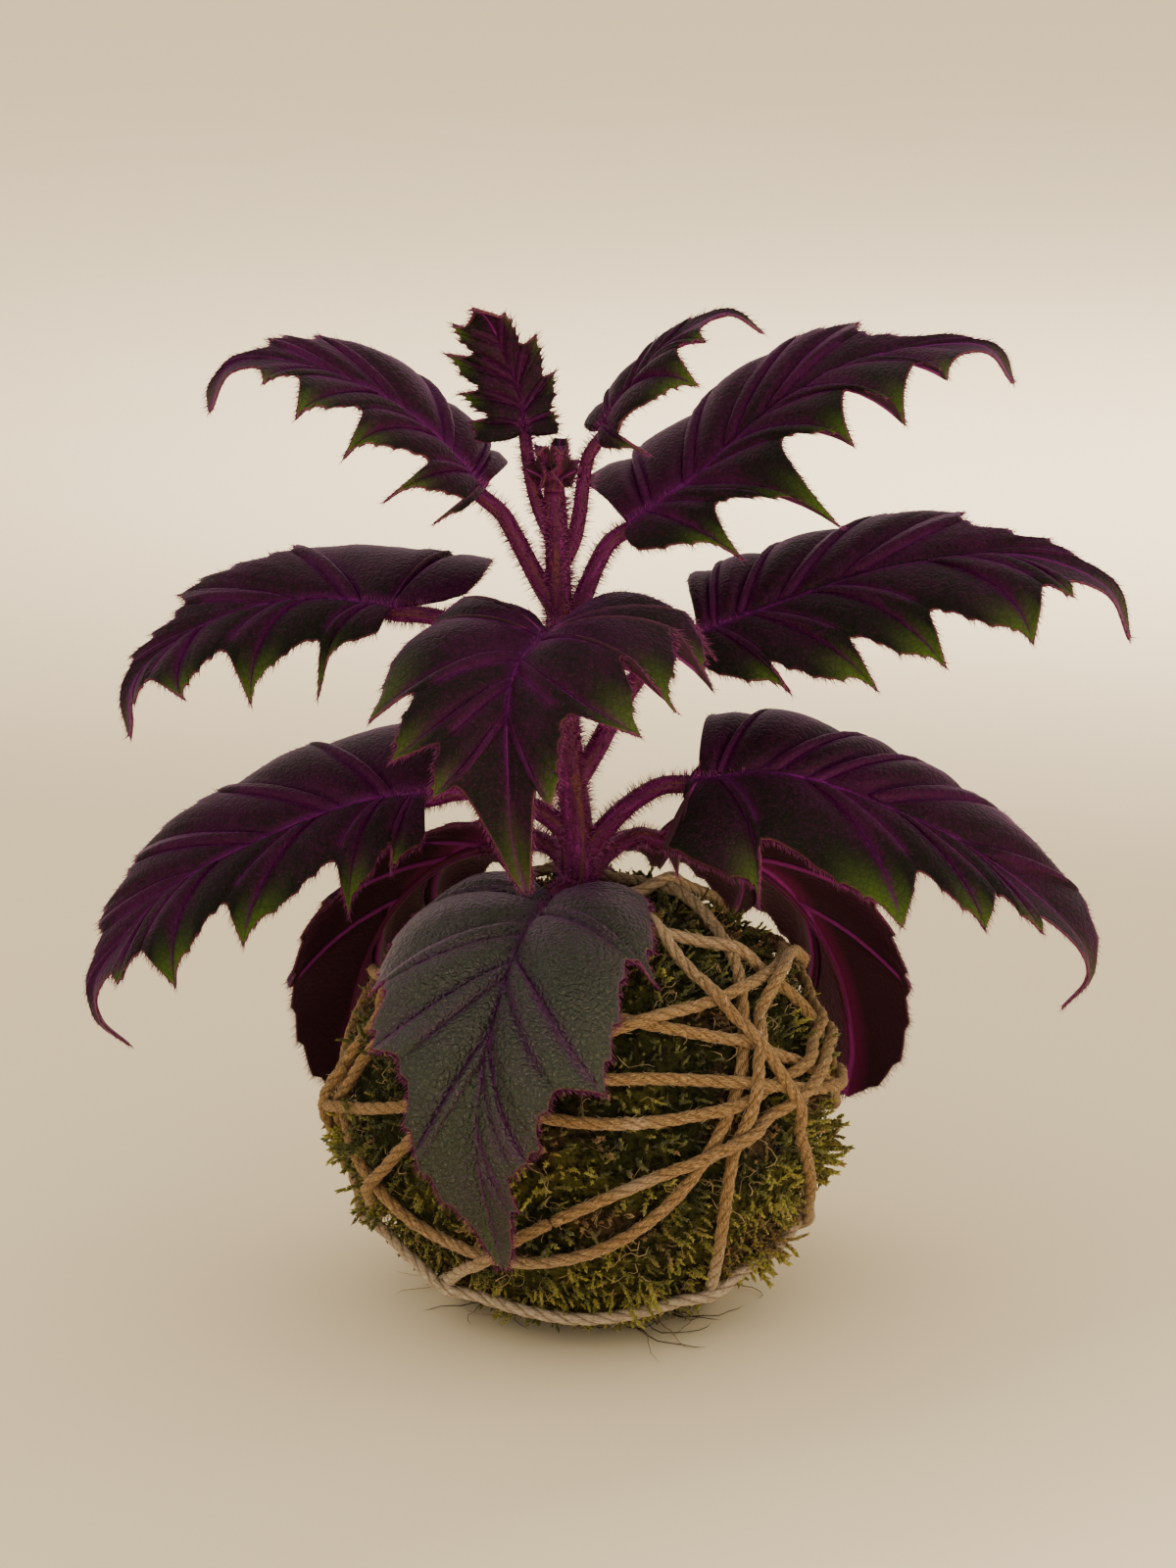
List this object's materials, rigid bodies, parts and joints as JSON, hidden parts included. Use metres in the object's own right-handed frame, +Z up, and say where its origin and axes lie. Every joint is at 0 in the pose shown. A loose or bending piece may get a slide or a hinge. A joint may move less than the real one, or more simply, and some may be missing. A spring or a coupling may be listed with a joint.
{
  "type": "kokedama moss ball plant",
  "caption": "Leafy purple velvet house plant growing from a moss-covered soil ball bound with jute twine, resting on a small flat spot, its hanging twine coiled behind.",
  "frame": {"origin": "middle of the small flat spot under the moss ball, on the surface it rests on", "axes": "+X to the right of the plant's front as pictured, -Y the front, +Z up"},
  "size_m": [0.2341, 0.1878, 0.2294],
  "materials": {
    "soil": "damp dark brown potting soil, rough",
    "moss": "living moss in olive and yellow green with dry brown patches",
    "jute": "three-ply twisted jute, golden tan, hairy",
    "stem": "magenta purple stem with fine dense hairs",
    "leaf": "dark green leaf under purple velvet hairs, violet veins, green tooth tips"
  },
  "bodies": {
    "root": {"soil_ball": "soil", "moss_cover": "moss", "twine_wrap": "jute", "main_stem": "stem", "growing_tip": "leaf", "leaf_upper_left": "leaf", "leaf_upper_right": "leaf", "leaf_middle_left": "leaf", "leaf_middle_right": "leaf", "leaf_middle_front": "leaf", "leaf_lower_left": "leaf", "leaf_lower_right": "leaf", "leaf_lower_front": "leaf", "leaf_back_left": "leaf", "leaf_back_right": "leaf", "leaf_young_left": "leaf", "leaf_young_right": "leaf", "hanging_twine": "jute", "hanging_twine_coil": "jute", "coil_tie": "jute"}
  },
  "joints": []
}
